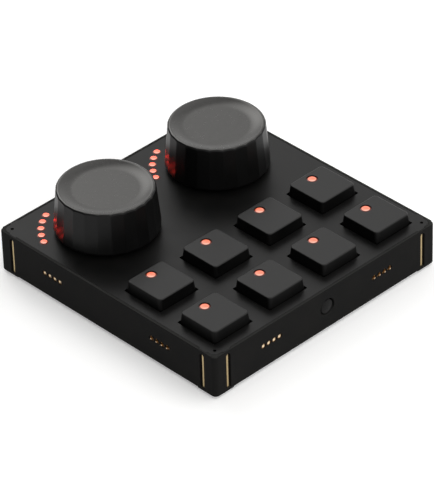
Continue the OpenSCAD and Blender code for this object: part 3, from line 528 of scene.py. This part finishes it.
def knob_column(turn, base_r, foot_z, top_z):
    """The outside of a knob at one angle, as (radius, height): foot, flat side, rim and dish."""
    off = (turn + KNOB_HALF_FACET) % (2 * KNOB_HALF_FACET) - KNOB_HALF_FACET
    rim_c = KNOB_TOP_R - KNOB_RIM_R
    rim_mid_z = top_z - KNOB_RIM_R
    side_low = foot_z + KNOB_FOOT_R
    lean = math.atan2(base_r - KNOB_TOP_R, rim_mid_z - side_low)

    def side_r(z):
        corner = base_r - (z - side_low) * math.tan(lean)
        flat = corner * math.cos(KNOB_HALF_FACET) / math.cos(off)
        return min(flat, corner - KNOB_LAND)

    # Where the side meets the rim's rounding, found by halving
    low, high = 0.0, math.pi / 2
    for _ in range(HALVINGS):
        a = (low + high) / 2
        inside = rim_c + KNOB_RIM_R * math.cos(a) < side_r(rim_mid_z + KNOB_RIM_R * math.sin(a))
        low, high = (low, a) if inside else (a, high)
    start = (low + high) / 2
    foot_c = side_r(side_low) - KNOB_FOOT_R
    column = [(foot_c + KNOB_FOOT_R * math.cos(a), side_low + KNOB_FOOT_R * math.sin(a))
              for a in (math.pi / 2 * (k / KNOB_FOOT_STEPS - 1)
                        for k in range(KNOB_FOOT_STEPS + 1))]
    stop = math.pi / 2 + KNOB_RIM_SLOPE
    for k in range(KNOB_RIM_STEPS + 1):
        a = start + (stop - start) * k / KNOB_RIM_STEPS
        column.append((rim_c + KNOB_RIM_R * math.cos(a), rim_mid_z + KNOB_RIM_R * math.sin(a)))
    rim_in, rim_in_z = column[-1]
    floor_z = top_z - KNOB_DISH_DEEP
    for k in range(KNOB_DISH_STEPS - 1, -1, -1):
        t = k / KNOB_DISH_STEPS
        column.append((KNOB_DISH_R + (rim_in - KNOB_DISH_R) * t,
                       floor_z + (rim_in_z - floor_z) * t * t))
    return column


def add_hub(bm, side, x, y, roof_z):
    """The hub that sits on the shaft and its flat, and the ribs between hub and wall."""
    foot_z = TOP_Z + HUB_LIFT
    lead_z = foot_z + HUB_LEAD
    bore_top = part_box(f"shaft_{side}")[1].z + BORE_AIR

    def flat_ring(z):
        return [Vector((p.x, min(p.y, y + BORE_FLAT), z)) for p in circle(x, y, BORE_R, z)]

    outer = loft(bm, [circle(x, y, HUB_R, foot_z), circle(x, y, HUB_R, roof_z)])
    bore = loft(bm, [circle(x, y, BORE_R, foot_z), circle(x, y, BORE_R, lead_z),
                     flat_ring(lead_z + HUB_LEAD_SLOPE), flat_ring(bore_top)])
    fill(bm, outer[0], bore[0])
    for end in (outer[-1], bore[-1]):
        bmesh.ops.contextual_create(bm, geom=ring_edges(bm, end))
    for k in range(RIB_COUNT):
        rib = box_in(bm, (x + HUB_R - RIB_SUNK, y - RIB_T / 2, TOP_Z + RIB_LIFT),
                     (x + KNOB_TOP_R - KNOB_WALL + RIB_SUNK, y + RIB_T / 2, roof_z + RIB_SUNK))
        bmesh.ops.rotate(bm, verts=rib, cent=(x, y, 0),
                         matrix=Matrix.Rotation(math.tau * k / RIB_COUNT, 3, "Z"))


def make_knob(side, finish):
    """A jog knob: faceted side, rounded rim and dished top, open below round its hub."""
    name = f"knob_{side}"
    low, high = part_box(name)
    x, y = middle(low, high)
    base_r = (high.x - low.x) / 2
    last = KNOB_HALF_FACET - KNOB_LAND_TURN
    inner = range(1 - KNOB_FACET_STEPS, KNOB_FACET_STEPS)
    steps = [-last, *(KNOB_HALF_FACET * k / KNOB_FACET_STEPS for k in inner), last]
    turns = [2 * KNOB_HALF_FACET * k + s for k in range(KNOB_FACETS) for s in steps]
    columns = [knob_column(t, base_r, low.z, high.z) for t in turns]
    rings = [[Vector((x + r * math.cos(t), y + r * math.sin(t), z))
              for t, (r, z) in zip(turns, row)] for row in zip(*columns)]
    bm = bmesh.new()
    outside = loft(bm, rings)
    bmesh.ops.contextual_create(bm, geom=ring_edges(bm, outside[-1]))
    wall_r = KNOB_TOP_R - KNOB_WALL
    roof_z = high.z - KNOB_DISH_DEEP - KNOB_TOP_T
    count = len(turns)
    inside = loft(bm, [circle(x, y, wall_r, low.z, count), circle(x, y, wall_r, roof_z, count)])
    fill(bm, outside[0], inside[0])
    bmesh.ops.contextual_create(bm, geom=ring_edges(bm, inside[1]))
    add_hub(bm, side, x, y, roof_z)
    satin = {v for ring in outside[KNOB_SATIN_ROW:] for v in ring}
    for f in bm.faces:
        f.material_index = 0 if satin.issuperset(f.verts) else 1
    mark_sharp(bm, KNOB_SHARP)
    piece(f"jog_knob_{side}", bm, "knob", f"jog_{side}", finish, [name], "knob_facets")


# Studio

def make_camera():
    """The photograph's view."""
    cos_e = math.cos(VIEW_ELEVATION)
    ahead = Vector((-math.sin(VIEW_AZIMUTH) * cos_e, math.cos(VIEW_AZIMUTH) * cos_e,
                    -math.sin(VIEW_ELEVATION)))
    level = ahead.cross(Vector((0, 0, 1))).normalized()
    upright = level.cross(ahead)
    right = math.cos(VIEW_ROLL) * level + math.sin(VIEW_ROLL) * upright
    up = math.cos(VIEW_ROLL) * upright - math.sin(VIEW_ROLL) * level
    data = bpy.data.cameras.new("camera")
    data.lens = LENS_MM
    data.sensor_width = SENSOR_MM
    cam = bpy.data.objects.new("camera", data)
    turn = Matrix((right, up, -ahead)).transposed().to_4x4()
    cam.matrix_world = Matrix.Translation(VIEW_TARGET - VIEW_DISTANCE * ahead) @ turn
    bpy.context.scene.collection.objects.link(cam)
    bpy.context.scene.camera = cam


def make_floor():
    """A wide pale floor that keeps the object's shadow."""
    bm = bmesh.new()
    edge = loft(bm, [circle(0, 0, r, 0, FLOOR_POINTS) for r in FLOOR_RADII])
    bm.faces.new(edge[0])
    mesh = bpy.data.meshes.new("floor")
    bmesh.ops.recalc_face_normals(bm, faces=bm.faces)
    bm.to_mesh(mesh)
    bm.free()
    floor = bpy.data.objects.new("floor", mesh)
    bpy.context.scene.collection.objects.link(floor)
    mat, tree, shader = material("floor_paint")
    tree.links.new(blend_colour(tree, noise(tree, FLOOR_SCALE), *FLOOR_TONES),
                   shader.inputs["Base Color"])
    shader.inputs["Roughness"].default_value = FLOOR_ROUGHNESS
    shader.inputs["Specular IOR Level"].default_value = FLOOR_LEVEL
    # A little light of its own, for what the camera and reflections see, keeps it white
    path = add_node(tree, "ShaderNodeLightPath")
    seen = path.outputs["Is Camera Ray"]
    for kind in ("Is Glossy Ray", "Is Transmission Ray"):
        either = add_node(tree, "ShaderNodeMath", operation="MAXIMUM")
        tree.links.new(seen, either.inputs[0])
        tree.links.new(path.outputs[kind], either.inputs[1])
        seen = either.outputs["Value"]
    lift = add_node(tree, "ShaderNodeMath", operation="MULTIPLY")
    tree.links.new(seen, lift.inputs[0])
    lift.inputs[1].default_value = FLOOR_LIFT
    tree.links.new(lift.outputs["Value"], shader.inputs["Emission Strength"])
    shader.inputs["Emission Color"].default_value = (1, 1, 1, 1)
    mesh.materials.append(mat)


def direction(azimuth, elevation):
    """A unit vector: azimuth in degrees from +X towards +Y, elevation above the horizon."""
    a, e = math.radians(azimuth), math.radians(elevation)
    return Vector((math.cos(a) * math.cos(e), math.sin(a) * math.cos(e), math.sin(e)))


def make_world():
    """A soft studio: an even fill, two soft lamps behind the right and a wide one in front."""
    world = bpy.data.worlds.new("studio")
    world.use_nodes = True
    tree = world.node_tree
    back = tree.nodes["Background"]
    place = add_node(tree, "ShaderNodeTexCoord")
    bright = add_node(tree, "ShaderNodeValue")
    bright.outputs["Value"].default_value = STUDIO_FILL
    for towards, start, stop, strength in STUDIO_GLOWS:
        dot = add_node(tree, "ShaderNodeVectorMath", operation="DOT_PRODUCT")
        dot.inputs[1].default_value = direction(*towards)
        tree.links.new(place.outputs["Generated"], dot.inputs[0])
        glow = to_range(tree, dot.outputs["Value"], 0, strength, start, stop)
        total = add_node(tree, "ShaderNodeMath", operation="ADD")
        tree.links.new(bright.outputs["Value"], total.inputs[0])
        tree.links.new(glow, total.inputs[1])
        bright = total
    tree.links.new(bright.outputs["Value"], back.inputs["Strength"])
    back.inputs["Color"].default_value = STUDIO_COLOUR
    bpy.context.scene.world = world


def dress_nodes(finish):
    """Gives each carried-over solid the finish of the slot that its plain material names."""
    for name, node in NODES.items():
        for place in node.material_slots:
            slot = place.material.name.split(".")[0]
            for start, own in OWN_FINISH.items():
                slot = own if name.startswith(start) else slot
            place.material = finish[slot]


make_camera()
make_world()
make_floor()
finish = make_materials()
dress_nodes(finish)
for i in KEYS:
    make_keycap(i, finish)
for side in SIDES:
    make_knob(side, finish)

bpy.context.scene.view_settings.view_transform = "Standard"
bpy.context.view_layer.update()
